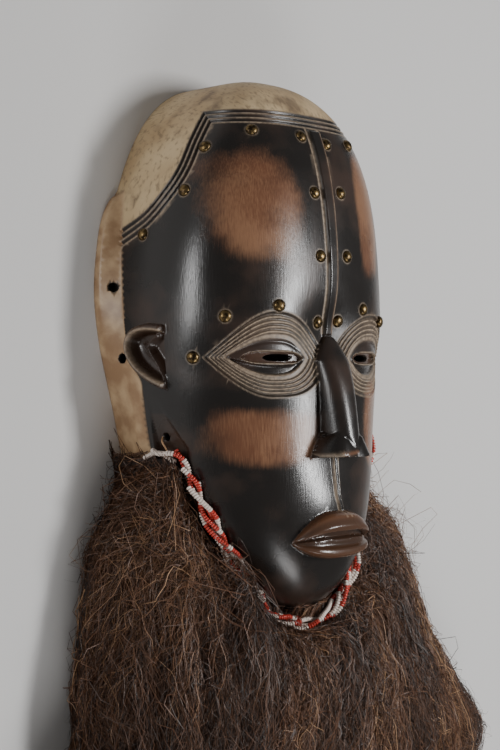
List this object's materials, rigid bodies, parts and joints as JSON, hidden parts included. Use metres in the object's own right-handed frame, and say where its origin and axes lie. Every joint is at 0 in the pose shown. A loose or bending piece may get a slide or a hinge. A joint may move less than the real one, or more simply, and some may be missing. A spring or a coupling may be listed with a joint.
{
  "type": "bete mask",
  "caption": "Oval carved wood face mask with slit eyes, forehead ridge, side flanges, brass nails, a string of seed beads and a long fibre beard, lying face up.",
  "frame": {"origin": "bottom centre of the bounding box, on the plane the mask lies on and on its plane of symmetry", "axes": "+X towards the mask's left ear, +Y towards the crown of the head, +Z out of the face"},
  "size_m": [0.524, 0.5469, 0.1374],
  "materials": {
    "wood": "polished black-brown patina on the face, bare pale wood on the cap and the side flanges",
    "brass": "worn, half gloss",
    "beads": "opaque red and white glass seed beads",
    "fibre": "matt wavy plant fibre"
  },
  "bodies": {
    "root": {"mask_body": "wood", "brass_nail_01": "brass", "brass_nail_02": "brass", "brass_nail_03": "brass", "brass_nail_04": "brass", "brass_nail_05": "brass", "brass_nail_06": "brass", "brass_nail_07": "brass", "brass_nail_08": "brass", "brass_nail_09": "brass", "brass_nail_10": "brass", "brass_nail_11": "brass", "brass_nail_12": "brass", "brass_nail_13": "brass", "brass_nail_14": "brass", "brass_nail_15": "brass", "brass_nail_16": "brass", "brass_nail_17": "brass", "brass_nail_18": "brass", "brass_nail_19": "brass", "brass_nail_20": "brass", "brass_nail_21": "brass", "brass_nail_22": "brass", "bead_strand_1": "beads", "bead_strand_2": "beads", "beard": "fibre"}
  },
  "joints": []
}
